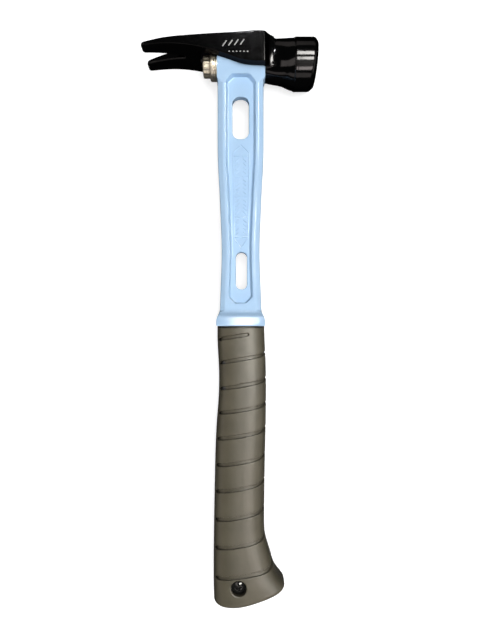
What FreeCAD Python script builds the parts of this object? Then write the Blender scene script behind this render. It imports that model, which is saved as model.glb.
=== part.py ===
import FreeCAD, Part
import math
import os

# A framing hammer: a forged claw head bolted onto a ribbed metal handle that ends in a rubber grip.
#
# Design frame, in millimetres: X runs along the blow with the striking face at +X, Y runs along the
# handle with the head at +Y and the widest line of the collar at Y = 0, and Z is across the hammer,
# with its mid-plane at Z = 0. The hammer lies on its side, so the whole model is lifted at the end
# to stand on Z = 0, with the origin at the bottom centre of its bounding box.

# Whole object
HALF_WIDTH = 18.4          # claw, cheeks, striking ring and butt all reach this far from the mid-plane
CLAW_TIP_X = -71.0
FACE_X = 56.3               # at the middle of the striking face
BUTT_Y = -207.6

# Head
STRIKE_Y = 190.8           # height of the axis of the neck and the striking ring
RING_RADIUS = HALF_WIDTH
RING_START_X = 39.9
RING_REAR_CHAMFER = 0.9
FACE_BEVEL = 2.8
FACE_TILT = 4.0            # degrees, the face leans towards the handle
NECK_ROOT_X = 18.5         # the neck starts where the hub of the handle ends
CHEEK_BOTTOM_Y = 184.4
DECK_BOTTOM_Y = 199.6      # ceiling of the pocket that takes the hub
CLAW_SLOT_ROOT_X = -42.0
CLAW_SLOT_ROOT_HALF = 1.5
CLAW_SLOT_TIP_HALF = 7.6
CLAW_TIP_ROUND = 3.6
SIDE_EDGE_FILLET = 0.6

# Nail starter in the top of the neck
NAIL_GROOVE_HALF = 1.95
NAIL_GROOVE_BOTTOM_Y = 204.4
NAIL_HEAD_SLOT_X = 26.0
NAIL_HEAD_SLOT_LENGTH = 2.2
NAIL_HEAD_SLOT_HALF = 4.4
NAIL_HEAD_SLOT_BOTTOM_Y = 202.4
MAGNET_X = 33.4
MAGNET_RADIUS = 3.0
MAGNET_HEIGHT = 2.5

# Handle
HANDLE_X = 0.45            # centre line of the ribbed shank
HUB_REAR_X = -16.8
HUB_HALF_THICKNESS = 11.0
HUB_TOP_Y = 199.4
HUB_STEP_Y = 178.0         # below this line the front of the hub steps back to the shank
SHANK_HALF_THICKNESS = 6.4
WEB_HALF_THICKNESS = 2.9
RIB_WIDTH = 6.7
RECESS_TOP_Y = 180.9
RECESS_BOTTOM_Y = 12.4
RECESS_CORNER = 4.6
GRIP_TOP_Y = -4.4
COLLAR_HALF_THICKNESS = 13.4

UPPER_WINDOW = (-5.6, 6.6, 134.3, 165.7, 5.4)     # low X, high X, low Y, high Y, corner radius
LOWER_WINDOW = (-3.0, 5.2, 22.7, 50.4, 4.0)

# Tang, the stiff core round it and the rubber grip
TANG_X = -0.6
TANG_HALF_WIDTH = 9.5
TANG_HALF_THICKNESS = 4.5
TANG_END_Y = -198.5
CORE_HALF_WIDTH = 12.6
CORE_HALF_THICKNESS = 8.4
CORE_TOP_Y = -7.4
CORE_END_Y = -201.5
CORE_BOSS_RADIUS = 7.2
CORE_BOSS_HALF = 12.6

# Fasteners
BOLT_Y = 189.3
BOLT_RADIUS = 6.0
BOLT_HOLE_RADIUS = 6.25
BOLT_END_X = 35.5
BOLT_BORE_END_X = 37.5
BOLT_FLANGE_RADIUS = 10.1
BOLT_FLANGE_EDGE = 0.9
BOLT_FLANGE_TOP_X = -22.3
BOLT_FLANGE_TOP_RADIUS = 8.7
BOLT_HEAD_X = -27.4
BOLT_HEAD_POINT_RADIUS = 8.1
BOLT_HEAD_ROOT_RADIUS = 7.15
BOLT_HEAD_CHAMFER = 0.8
BOLT_HEAD_POINTS = 12
BOLT_RELIEF_RADIUS = 11.6
BOLT_RELIEF_START_X = -30.0
WASHER_THICKNESS = 1.25
WASHER_RADIUS = 10.2
WASHER_HOLE_RADIUS = 6.3

SCREW_X = -0.9
SCREW_Y = -191.6
SCREW_POCKET_RADIUS = 5.55
SCREW_RADIUS = 2.5
SCREW_HEAD_RADIUS = 5.1
SCREW_HEAD_HEIGHT = 4.2
SCREW_HEAD_EDGE = 2.4
SCREW_END_Z = -6.0
SCREW_SOCKET_RADIUS = 2.3
SCREW_SOCKET_DEPTH = 1.7
NUT_BARREL_RADIUS = 3.5
NUT_BARREL_END_Z = 5.5
NUT_THREAD_END_Z = -8.0
SCREW_HOLE_RADIUS = 3.6

FACE_TOP_X = FACE_X + (RING_RADIUS - FACE_BEVEL) * math.sin(math.radians(FACE_TILT))
MID_X = (CLAW_TIP_X + FACE_TOP_X) / 2
MID_Y = (BUTT_Y + STRIKE_Y + RING_RADIUS) / 2
SIDE_STOCK = 5.0           # stock left on each side of the head until it is trimmed
BEYOND = 60.0              # how far a cutting tool runs past what it cuts

# Crown of the claw, deck and hump: X, height at the side edges, rise of the middle above them
CREST_LINE = [(-72.5, 196.9, 0.8), (-66.0, 198.5, 0.9), (-58.7, 200.1, 1.0), (-39.1, 202.5, 1.4),
              (-16.3, 203.9, 1.8), (3.0, 204.7, 2.1), (14.0, 205.3, 2.2), (21.0, 205.6, 2.2),
              (26.0, 204.6, 2.2)]

# Lower edge of the cheeks and claw, seen from the side
CHEEK_LINE = [(17.5, CHEEK_BOTTOM_Y), (8.0, 184.8), (0.0, 186.1), (-7.1, 188.6), (-17.8, 192.0),
              (-28.4, 194.5), (-39.1, 196.2), (-50.0, 196.9), (-62.0, 196.4), (-73.0, 195.2)]

# Half-width of the claw, deck and hump seen from above
FRONT_SHOULDER = [(16.8, HALF_WIDTH), (17.9, 17.4), (19.4, 14.7), (21.6, 12.3), (26.0, 11.0)]

# Neck sections: X, half-width, depth below and above the strike axis, squareness of the section
NECK_SECTIONS = [
    (NECK_ROOT_X, 12.2, 11.8, 16.9, 2.9),
    (26.0, 12.5, 13.7, 17.3, 2.7),
    (32.0, 13.8, 15.1, 17.4, 2.5),
    (37.0, 16.2, 17.0, 17.6, 2.3),
    (41.0, 17.6, 18.0, 17.8, 2.0),
]

# Half-width of the shank and collar along Y, measured from HANDLE_X
SHANK_EDGE = [(172.0, 17.0), (150.0, 17.0), (130.0, 17.0), (115.0, 16.7), (98.5, 15.8), (76.4, 14.8),
              (50.0, 14.0), (27.9, 14.6), (9.0, 15.3)]
COLLAR_EDGE = [(9.0, 15.3), (5.0, 15.9), (1.5, 17.3), (GRIP_TOP_Y, 17.6)]

# Half-thickness of the hub, shank and collar along Y
HUB_FLARE = [(188.5, HUB_HALF_THICKNESS), (184.5, 9.8), (180.5, 7.9), (175.0, SHANK_HALF_THICKNESS)]
COLLAR_FLARE = [(9.5, SHANK_HALF_THICKNESS), (6.0, 7.2), (2.6, 10.4), (-0.5, 11.9),
                (GRIP_TOP_Y, COLLAR_HALF_THICKNESS)]

# Grip stations: Y, rear edge X, front edge X, half-thickness, squareness of the section
GRIP_STATIONS = [
    (GRIP_TOP_Y, -16.8, 18.1, 13.6, 2.35),
    (-15.0, -16.8, 18.4, 13.3, 2.35),
    (-28.0, -16.1, 19.0, 13.2, 2.35),
    (-46.0, -15.6, 19.4, 13.4, 2.35),
    (-58.0, -16.0, 19.4, 13.6, 2.35),
    (-75.0, -17.3, 19.2, 13.9, 2.35),
    (-90.0, -18.1, 18.9, 14.1, 2.35),
    (-112.0, -18.7, 18.4, 14.4, 2.35),
    (-145.0, -19.3, 18.0, 15.0, 2.45),
    (-161.0, -19.5, 19.0, 15.8, 2.6),
    (-174.0, -19.6, 22.8, 16.8, 2.8),
    (-186.0, -19.6, 27.2, 17.7, 3.0),
    (-195.0, -19.5, 34.0, 18.0, 3.2),
    (-212.0, -19.0, 38.0, 18.0, 3.2),
]
BUTT_FLAT = [(-30.0, BUTT_Y), (-12.0, BUTT_Y)]
BUTT_LINE = [(-12.0, BUTT_Y), (3.0, -205.6), (12.0, -203.0), (21.0, -199.9), (30.0, -196.9), (42.0, -193.0)]
BUTT_FILLET = 3.2
SECTION_POINTS = 28


def vector(x, y, z=0.0):
    return FreeCAD.Vector(x, y, z)


def spline(points):
    curve = Part.BSplineCurve()
    curve.interpolate([vector(*point) for point in points])
    return curve.toShape()


def line(start, end):
    return Part.makeLine(vector(*start), vector(*end))


def plate(edges, half_thickness):
    """Solid with the given outline in the XY plane, centred on the mid-plane."""
    face = Part.Face(Part.Wire(Part.sortEdges(edges)[0]))
    face.translate(vector(0, 0, -half_thickness))
    return face.extrude(vector(0, 0, 2 * half_thickness))


def polygon_plate(points, low_z, high_z):
    corners = [vector(x, y, low_z) for x, y in points]
    face = Part.Face(Part.makePolygon(corners + corners[:1]))
    return face.extrude(vector(0, 0, high_z - low_z))


def block(low_x, high_x, low_y, high_y, low_z, high_z):
    return Part.makeBox(high_x - low_x, high_y - low_y, high_z - low_z, vector(low_x, low_y, low_z))


def rod_x(radius, low_x, high_x, y):
    return Part.makeCylinder(radius, high_x - low_x, vector(low_x, y, 0), vector(1, 0, 0))


def rod_z(radius, low_z, high_z):
    return Part.makeCylinder(radius, high_z - low_z, vector(SCREW_X, SCREW_Y, low_z), vector(0, 0, 1))


def turned_x(outline, y):
    """Solid turned about an X axis at height y, from (x, radius) points that start and end on the axis."""
    corners = [vector(x, y + radius, 0) for x, radius in outline]
    face = Part.Face(Part.makePolygon(corners + corners[:1]))
    return face.revolve(vector(0, y, 0), vector(1, 0, 0), 360)


def rounded_power(value, squareness):
    return math.copysign(abs(value) ** (2 / squareness), value)


def section_wire(centre_of, squareness):
    """Closed smooth section. centre_of turns a pair of unit offsets into a point in space."""
    points = []
    for step in range(SECTION_POINTS):
        angle = 2 * math.pi * step / SECTION_POINTS
        across = rounded_power(math.cos(angle), squareness)
        up = rounded_power(math.sin(angle), squareness)
        points.append(centre_of(across, up))
    curve = Part.BSplineCurve()
    curve.interpolate(points, PeriodicFlag=True)
    return Part.Wire(curve.toShape())


def mirrored_outline(edge, centre):
    """Points of (y, half-width) as the two sides of a shape about X = centre."""
    left = [(centre - half, y) for y, half in edge]
    right = [(centre + half, y) for y, half in edge]
    return left, right


# Head

def crown():
    """Everything under the crowned top of the claw, deck and hump."""
    wires = []
    low_y = CHEEK_BOTTOM_Y - BEYOND
    half = HALF_WIDTH + SIDE_STOCK
    for x, edge_y, rise in CREST_LINE:
        side_y = edge_y + rise - rise * (half / HALF_WIDTH) ** 2
        left, middle, right = vector(x, side_y, -half), vector(x, edge_y + rise, 0), vector(x, side_y, half)
        low_left, low_right = vector(x, low_y, -half), vector(x, low_y, half)
        wires.append(Part.Wire([Part.Arc(left, middle, right).toShape(), Part.makeLine(right, low_right),
                                Part.makeLine(low_right, low_left), Part.makeLine(low_left, left)]))
    return Part.makeLoft(wires, True, False)


def above_cheek_line():
    """Everything above the lower edge of the cheeks and claw. The hump sinks into the neck."""
    front, rear = CHEEK_LINE[0], CHEEK_LINE[-1]
    hump_x = CREST_LINE[-1][0]
    top_y = STRIKE_Y + BEYOND
    return plate([
        line((rear[0], top_y), (hump_x, top_y)),
        line((hump_x, top_y), (hump_x, STRIKE_Y)),
        line((hump_x, STRIKE_Y), (front[0], STRIKE_Y)),
        line((front[0], STRIKE_Y), front),
        spline(CHEEK_LINE),
        line(rear, (rear[0], top_y)),
    ], HALF_WIDTH + SIDE_STOCK)


def claw_block():
    """Claw, deck, cheeks and hump: the crowned top, the cheek line and the shape seen from above."""
    return crown().common(above_cheek_line()).common(plan_shape())


def plan_shape():
    tip = CLAW_TIP_X
    round_start = tip + CLAW_TIP_ROUND
    inner = HALF_WIDTH - CLAW_TIP_ROUND
    arc_mid = CLAW_TIP_ROUND * (1 - math.sqrt(0.5))
    low_y = CHEEK_BOTTOM_Y - BEYOND
    front_x, front_half = FRONT_SHOULDER[-1]
    edges = []
    for side in (1, -1):
        shoulder = [vector(x, low_y, side * half) for x, half in FRONT_SHOULDER]
        curve = Part.BSplineCurve()
        ahead = vector(1, 0, 0)
        inward = shoulder[-1] - shoulder[-2]
        curve.interpolate(Points=shoulder, InitialTangent=ahead, FinalTangent=inward)
        edges.append(curve.toShape())
        edges.append(Part.makeLine(vector(round_start, low_y, side * HALF_WIDTH), shoulder[0]))
        edges.append(Part.Arc(vector(tip, low_y, side * inner),
                              vector(tip + arc_mid, low_y, side * (HALF_WIDTH - arc_mid)),
                              vector(round_start, low_y, side * HALF_WIDTH)).toShape())
    edges.append(Part.makeLine(vector(tip, low_y, -inner), vector(tip, low_y, inner)))
    edges.append(Part.makeLine(vector(front_x, low_y, -front_half), vector(front_x, low_y, front_half)))
    face = Part.Face(Part.Wire(Part.sortEdges(edges)[0]))
    return face.extrude(vector(0, 2 * BEYOND, 0))


def claw_slot():
    """V between the two tines, with a round root."""
    low_y = CHEEK_BOTTOM_Y
    root = CLAW_SLOT_ROOT_X
    mouth = CLAW_TIP_X - 1
    corners = [vector(root, low_y, CLAW_SLOT_ROOT_HALF), vector(mouth, low_y, CLAW_SLOT_TIP_HALF),
               vector(mouth, low_y, -CLAW_SLOT_TIP_HALF), vector(root, low_y, -CLAW_SLOT_ROOT_HALF)]
    wedge = Part.Face(Part.makePolygon(corners + corners[:1])).extrude(vector(0, BEYOND, 0))
    round_root = Part.makeCylinder(CLAW_SLOT_ROOT_HALF, BEYOND, vector(root, low_y, 0), vector(0, 1, 0))
    return wedge.fuse(round_root)


def neck():
    wires = []
    for x, half_width, below, above, squareness in NECK_SECTIONS:
        def place(across, up, x=x, half_width=half_width, below=below, above=above):
            height = above if up > 0 else below
            return vector(x, STRIKE_Y + height * up, half_width * across)
        wires.append(section_wire(place, squareness))
    return Part.makeLoft(wires, True, False)


def ring():
    """Striking ring: a straight drum, ended by a face and bevel that lean towards the handle."""
    rear = RING_START_X
    drum = turned_x([(rear, 0), (rear, RING_RADIUS - RING_REAR_CHAMFER),
                     (rear + RING_REAR_CHAMFER, RING_RADIUS), (BEYOND, RING_RADIUS), (BEYOND, 0)], STRIKE_Y)
    outer = RING_RADIUS + FACE_BEVEL
    ended = turned_x([(-BEYOND, 0), (-BEYOND, outer), (FACE_X - 2 * FACE_BEVEL, outer),
                      (FACE_X, RING_RADIUS - FACE_BEVEL), (FACE_X, 0)], STRIKE_Y)
    ended.rotate(vector(FACE_X, STRIKE_Y, 0), vector(0, 0, 1), -FACE_TILT)
    return drum.common(ended)


def nail_groove():
    top = STRIKE_Y + RING_RADIUS + 1
    start = NAIL_HEAD_SLOT_X
    groove = block(start, BEYOND, NAIL_GROOVE_BOTTOM_Y, top, -NAIL_GROOVE_HALF, NAIL_GROOVE_HALF)
    head_slot = block(start, start + NAIL_HEAD_SLOT_LENGTH, NAIL_HEAD_SLOT_BOTTOM_Y, top,
                      -NAIL_HEAD_SLOT_HALF, NAIL_HEAD_SLOT_HALF)
    return groove.fuse(head_slot)


def magnet():
    low_y = NAIL_GROOVE_BOTTOM_Y - MAGNET_HEIGHT
    return Part.makeCylinder(MAGNET_RADIUS, MAGNET_HEIGHT, vector(MAGNET_X, low_y, 0), vector(0, 1, 0))


def long_side_edges(shape):
    """Long edges of the claw and cheeks, where the top and the underside meet the flat sides."""
    found = []
    for edge in shape.Edges:
        box = edge.BoundBox
        on_side = abs(abs(box.Center.z) - HALF_WIDTH) < 0.01 and box.ZLength < 0.01
        if on_side and box.XLength > BEYOND:
            found.append(edge)
    return found


def head():
    body = claw_block()
    body = body.makeFillet(SIDE_EDGE_FILLET, long_side_edges(body))
    body = body.fuse([neck(), ring()])
    pocket = block(HUB_REAR_X - 0.2, NECK_ROOT_X, CHEEK_BOTTOM_Y - BEYOND, DECK_BOTTOM_Y,
                   -HUB_HALF_THICKNESS, HUB_HALF_THICKNESS)
    relief = rod_x(BOLT_RELIEF_RADIUS, BOLT_RELIEF_START_X, HUB_REAR_X, BOLT_Y)
    relief_mouth = block(BOLT_RELIEF_START_X, HUB_REAR_X, CHEEK_BOTTOM_Y - BEYOND, BOLT_Y,
                         -BOLT_RELIEF_RADIUS, BOLT_RELIEF_RADIUS)
    bore = rod_x(BOLT_RADIUS, NECK_ROOT_X - 1, BOLT_BORE_END_X, BOLT_Y)
    return body.cut([pocket, relief, relief_mouth, bore, claw_slot(), nail_groove(), magnet()])


# Handle

def shank_front():
    """Hub, shank and collar seen along Z, as a thick plate."""
    left, right = mirrored_outline(SHANK_EDGE, HANDLE_X)
    collar_left, collar_right = mirrored_outline(COLLAR_EDGE, HANDLE_X)
    hub_low = (HUB_REAR_X, HUB_STEP_Y)
    hub_front = (NECK_ROOT_X, HUB_STEP_Y)
    return plate([
        line((HUB_REAR_X, HUB_TOP_Y), (NECK_ROOT_X, HUB_TOP_Y)),
        line((HUB_REAR_X, HUB_TOP_Y), hub_low),
        line(hub_low, left[0]),
        spline(left),
        spline(collar_left),
        line(collar_left[-1], collar_right[-1]),
        spline(collar_right),
        spline(right),
        line(hub_front, right[0]),
        line((NECK_ROOT_X, HUB_TOP_Y), hub_front),
    ], HUB_HALF_THICKNESS)


def side_edge(points, side):
    return spline([(-BEYOND, y, side * half) for y, half in points])


def shank_side():
    """The same parts seen along X, where the hub and the collar are thicker than the shank."""
    hub, collar = HUB_HALF_THICKNESS, COLLAR_HALF_THICKNESS
    edges = [line((-BEYOND, HUB_TOP_Y, -hub), (-BEYOND, HUB_TOP_Y, hub)),
             line((-BEYOND, GRIP_TOP_Y, -collar), (-BEYOND, GRIP_TOP_Y, collar))]
    for side in (1, -1):
        edges.append(side_edge(HUB_FLARE, side))
        edges.append(side_edge(COLLAR_FLARE, side))
        edges.append(line((-BEYOND, HUB_FLARE[-1][0], side * SHANK_HALF_THICKNESS),
                          (-BEYOND, COLLAR_FLARE[0][0], side * SHANK_HALF_THICKNESS)))
        edges.append(line((-BEYOND, HUB_TOP_Y, side * hub), (-BEYOND, HUB_FLARE[0][0], side * hub)))
    face = Part.Face(Part.Wire(Part.sortEdges(edges)[0]))
    return face.extrude(vector(2 * BEYOND, 0, 0))


def recess_outline():
    """Long octagon that follows the edges of the shank, one rib width inside them."""
    inner = [(y, half - RIB_WIDTH) for y, half in SHANK_EDGE[1:-1]]
    top_half = inner[0][1]
    bottom_half = inner[-1][1] + 0.5
    first = (RECESS_TOP_Y - RECESS_CORNER, top_half)
    last = (RECESS_BOTTOM_Y + RECESS_CORNER, bottom_half)
    left, right = mirrored_outline([first] + inner + [last], HANDLE_X)
    cut_top = [(HANDLE_X - top_half + RECESS_CORNER, RECESS_TOP_Y),
               (HANDLE_X + top_half - RECESS_CORNER, RECESS_TOP_Y)]
    cut_bottom = [(HANDLE_X - bottom_half + RECESS_CORNER, RECESS_BOTTOM_Y),
                  (HANDLE_X + bottom_half - RECESS_CORNER, RECESS_BOTTOM_Y)]
    return left[::-1] + cut_top + right + cut_bottom[::-1]


def window(low_x, high_x, low_y, high_y, corner):
    opening = block(low_x, high_x, low_y, high_y, -BEYOND, BEYOND)
    upright = [edge for edge in opening.Edges if edge.BoundBox.ZLength > BEYOND]
    return opening.makeFillet(corner, upright)


def tang():
    return block(TANG_X - TANG_HALF_WIDTH, TANG_X + TANG_HALF_WIDTH, TANG_END_Y, GRIP_TOP_Y,
                 -TANG_HALF_THICKNESS, TANG_HALF_THICKNESS)


def handle():
    body = shank_front().common(shank_side())
    outline = recess_outline()
    recesses = [polygon_plate(outline, WEB_HALF_THICKNESS, BEYOND),
                polygon_plate(outline, -BEYOND, -WEB_HALF_THICKNESS)]
    bolt_hole = rod_x(BOLT_HOLE_RADIUS, HUB_REAR_X - 1, NECK_ROOT_X + 1, BOLT_Y)
    body = body.cut(recesses + [window(*UPPER_WINDOW), window(*LOWER_WINDOW), bolt_hole])
    body = body.fuse(tang()).cut(rod_z(SCREW_HOLE_RADIUS, -BEYOND, BEYOND))
    return body.removeSplitter()


# Grip

def core_envelope():
    tube = block(TANG_X - CORE_HALF_WIDTH, TANG_X + CORE_HALF_WIDTH, CORE_END_Y, CORE_TOP_Y,
                 -CORE_HALF_THICKNESS, CORE_HALF_THICKNESS)
    long_edges = [edge for edge in tube.Edges if edge.BoundBox.YLength > BEYOND]
    return tube.makeFillet(CORE_HALF_THICKNESS / 2, long_edges).fuse(
        rod_z(CORE_BOSS_RADIUS, -CORE_BOSS_HALF, CORE_BOSS_HALF)).removeSplitter()


def grip_core():
    return core_envelope().cut([tang(), rod_z(SCREW_HOLE_RADIUS, -BEYOND, BEYOND)])


def grip():
    wires = []
    for y, rear, front, half, squareness in GRIP_STATIONS:
        def place(across, up, y=y, rear=rear, front=front, half=half):
            return vector((rear + front) / 2 + (front - rear) / 2 * across, y, half * up)
        wires.append(section_wire(place, squareness))
    body = Part.makeLoft(wires, True, False)
    start, end = BUTT_FLAT[0], BUTT_LINE[-1]
    above_butt = plate([
        line(*BUTT_FLAT),
        spline(BUTT_LINE),
        line(start, (start[0], GRIP_TOP_Y)),
        line((start[0], GRIP_TOP_Y), (end[0], GRIP_TOP_Y)),
        line((end[0], GRIP_TOP_Y), end),
    ], BEYOND)
    body = body.common(above_butt)
    rim = [edge for edge in body.Edges if edge.BoundBox.YMax < SCREW_Y + 3 and edge.BoundBox.XLength > 20]
    body = body.makeFillet(BUTT_FILLET, rim)
    pockets = [rod_z(SCREW_POCKET_RADIUS, CORE_BOSS_HALF, BEYOND),
               rod_z(SCREW_POCKET_RADIUS, -BEYOND, -CORE_BOSS_HALF)]
    return body.cut([core_envelope(), tang()] + pockets).removeSplitter()


# Fasteners

def twelve_point_star(low_x, high_x):
    """Prism about the bolt axis that a twelve-point socket fits."""
    corners = []
    for step in range(2 * BOLT_HEAD_POINTS):
        angle = math.pi * step / BOLT_HEAD_POINTS
        radius = BOLT_HEAD_POINT_RADIUS if step % 2 == 0 else BOLT_HEAD_ROOT_RADIUS
        corners.append(vector(low_x, BOLT_Y + radius * math.cos(angle), radius * math.sin(angle)))
    return Part.Face(Part.makePolygon(corners + corners[:1])).extrude(vector(high_x - low_x, 0, 0))


def washer_seat_x():
    return HUB_REAR_X - 2 * WASHER_THICKNESS


def head_bolt():
    seat = washer_seat_x()
    star = twelve_point_star(BOLT_HEAD_X, BOLT_FLANGE_TOP_X + 0.5)
    chamfer = turned_x([(BOLT_HEAD_X, 0), (BOLT_HEAD_X, BOLT_HEAD_POINT_RADIUS - BOLT_HEAD_CHAMFER),
                        (BOLT_HEAD_X + BOLT_HEAD_CHAMFER, BOLT_HEAD_POINT_RADIUS),
                        (seat, BOLT_HEAD_POINT_RADIUS), (seat, 0)], BOLT_Y)
    body = turned_x([(BOLT_FLANGE_TOP_X, 0), (BOLT_FLANGE_TOP_X, BOLT_FLANGE_TOP_RADIUS),
                     (seat - BOLT_FLANGE_EDGE, BOLT_FLANGE_RADIUS), (seat, BOLT_FLANGE_RADIUS),
                     (seat, BOLT_RADIUS), (BOLT_END_X - 1, BOLT_RADIUS), (BOLT_END_X, BOLT_RADIUS - 1),
                     (BOLT_END_X, 0)], BOLT_Y)
    return body.fuse(star.common(chamfer)).removeSplitter()


def lock_washer(low_x):
    return rod_x(WASHER_RADIUS, low_x, low_x + WASHER_THICKNESS, BOLT_Y).cut(
        rod_x(WASHER_HOLE_RADIUS, low_x - 1, low_x + WASHER_THICKNESS + 1, BOLT_Y))


def grip_screw():
    seat = CORE_BOSS_HALF
    top = seat + SCREW_HEAD_HEIGHT
    cap = rod_z(SCREW_HEAD_RADIUS, seat, top)
    cap = cap.makeFillet(SCREW_HEAD_EDGE, [edge for edge in cap.Edges if edge.BoundBox.ZMin > seat + 1])
    socket = rod_z(SCREW_SOCKET_RADIUS, top - SCREW_SOCKET_DEPTH, top + 1)
    return cap.fuse(rod_z(SCREW_RADIUS, SCREW_END_Z, seat)).cut(socket)


def grip_barrel_nut():
    seat = -CORE_BOSS_HALF
    low = seat - SCREW_HEAD_HEIGHT
    cap = rod_z(SCREW_HEAD_RADIUS, low, seat)
    cap = cap.makeFillet(SCREW_HEAD_EDGE, [edge for edge in cap.Edges if edge.BoundBox.ZMax < seat - 1])
    socket = rod_z(SCREW_SOCKET_RADIUS, low - 1, low + SCREW_SOCKET_DEPTH)
    barrel = rod_z(NUT_BARREL_RADIUS, seat, NUT_BARREL_END_Z)
    return cap.fuse(barrel).cut([rod_z(SCREW_RADIUS, NUT_THREAD_END_Z, BEYOND), socket])


def export(name, shape):
    shape = shape.copy()
    shape.translate(vector(-MID_X, -MID_Y, HALF_WIDTH))
    shape.exportStep("parts/" + name + ".step")
    box = shape.BoundBox
    print("%-18s solids %d valid %s volume %.0f  x %.2f..%.2f y %.2f..%.2f z %.2f..%.2f" % (
        name, len(shape.Solids), shape.isValid(), shape.Volume,
        box.XMin, box.XMax, box.YMin, box.YMax, box.ZMin, box.ZMax))


os.makedirs("parts", exist_ok=True)
export("head", head())
export("nail_magnet", magnet())
export("handle", handle())
export("head_bolt", head_bolt())
export("lock_washer_outer", lock_washer(washer_seat_x()))
export("lock_washer_inner", lock_washer(washer_seat_x() + WASHER_THICKNESS))
export("grip_core", grip_core())
export("grip", grip())
export("grip_screw", grip_screw())
export("grip_barrel_nut", grip_barrel_nut())
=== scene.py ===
"""Looks of a claw hammer: a polished black head bolted onto a light blue ribbed handle with a rubber grip.

Shapes are worked out in the millimetre frame of the CAD design: X along the blow, Y along the handle
with the widest line of the collar at 0, and Z across with the mid-plane at 0. Each large piece is the
zero surface of a distance function, meshed with quads whose corners are moved onto that surface.
"""

import math

import bmesh
import bpy
import numpy as np
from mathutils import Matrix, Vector


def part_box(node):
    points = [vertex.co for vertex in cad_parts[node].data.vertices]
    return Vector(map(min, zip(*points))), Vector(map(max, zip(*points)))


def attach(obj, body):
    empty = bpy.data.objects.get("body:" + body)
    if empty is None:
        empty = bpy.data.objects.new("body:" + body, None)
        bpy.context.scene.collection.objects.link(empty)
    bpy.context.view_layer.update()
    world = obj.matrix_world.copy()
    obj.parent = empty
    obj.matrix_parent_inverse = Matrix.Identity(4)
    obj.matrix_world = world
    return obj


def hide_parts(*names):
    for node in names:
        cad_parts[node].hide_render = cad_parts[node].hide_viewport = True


MM = 0.001

# Sizes shared with the CAD, in millimetres
HALF_WIDTH = 18.4
CHEEK_HALF = 18.34
CLAW_TIP_X = -71.0
FACE_X = 56.3
FACE_BEVEL = 2.8
FACE_TILT = math.radians(4)
STRIKE_Y = 190.8
RING_RADIUS = 18.4
BUTT_Y = -207.5
GRIP_TOP_Y = -4.4
BOLT_Y = 189.3
HUB_REAR_X = -16.8
NECK_ROOT_X = 18.5
HUB_HALF = 11.0
SCREW_X, SCREW_Y = -0.9, -191.6
SCREW_POCKET_RADIUS = 5.55
CORE_BOSS_HALF = 12.6
TANG_X, TANG_HALF_WIDTH, TANG_HALF, TANG_END_Y = -0.6, 9.5, 4.5, -198.5
TANG_HOLE_RADIUS = 3.6

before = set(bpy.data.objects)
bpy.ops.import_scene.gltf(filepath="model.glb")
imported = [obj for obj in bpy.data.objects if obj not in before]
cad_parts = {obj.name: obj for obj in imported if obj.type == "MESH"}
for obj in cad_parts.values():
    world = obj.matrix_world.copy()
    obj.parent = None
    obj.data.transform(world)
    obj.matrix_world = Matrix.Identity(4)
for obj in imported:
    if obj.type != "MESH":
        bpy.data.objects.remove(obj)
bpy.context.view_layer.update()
head_low, head_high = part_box("head")
face_top_x = FACE_X + (RING_RADIUS - FACE_BEVEL) * math.sin(FACE_TILT)
SHIFT = np.array([head_high[0] / MM - face_top_x,
                  head_high[1] / MM - STRIKE_Y - RING_RADIUS,
                  (head_low[2] + head_high[2]) / MM / 2])


# Curves and distance functions

class Spline:
    """Smooth natural cubic curve through (position, value, ...) rows, straight beyond its ends."""

    def __init__(self, rows, column=1):
        rows = sorted(rows)
        self.x = np.array([row[0] for row in rows], float)
        self.y = np.array([row[column] for row in rows], float)
        n = len(self.x)
        gap = np.diff(self.x)
        slope = np.diff(self.y) / gap
        system = np.eye(n)
        right = np.zeros(n)
        for i in range(1, n - 1):
            system[i, i - 1:i + 2] = gap[i - 1], 2 * (gap[i - 1] + gap[i]), gap[i]
            right[i] = 6 * (slope[i] - slope[i - 1])
        self.bend = np.linalg.solve(system, right)
        self.first = slope[0] - gap[0] * self.bend[1] / 6
        self.last = slope[-1] + gap[-1] * self.bend[-2] / 6

    def __call__(self, at):
        at = np.asarray(at, float)
        x, y, bend = self.x, self.y, self.bend
        i = np.clip(np.searchsorted(x, at) - 1, 0, len(x) - 2)
        gap = x[i + 1] - x[i]
        a = (x[i + 1] - at) / gap
        b = (at - x[i]) / gap
        inner = a * y[i] + b * y[i + 1]
        inner = inner + ((a ** 3 - a) * bend[i] + (b ** 3 - b) * bend[i + 1]) * gap ** 2 / 6
        below = y[0] + self.first * (at - x[0])
        above = y[-1] + self.last * (at - x[-1])
        return np.where(at < x[0], below, np.where(at > x[-1], above, inner))


def both(a, b, radius):
    """Inside both shapes, with the edge between them rounded to the radius."""
    corner = np.hypot(np.maximum(a + radius, 0), np.maximum(b + radius, 0))
    return np.minimum(np.maximum(a, b), -radius) + corner


def either(a, b, radius):
    """Inside either shape, with a fillet of the radius where they meet."""
    return -both(-a, -b, radius)


def without(a, b, radius):
    """Inside a and outside b, with the edge rounded to the radius."""
    return both(a, -b, radius)


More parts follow.
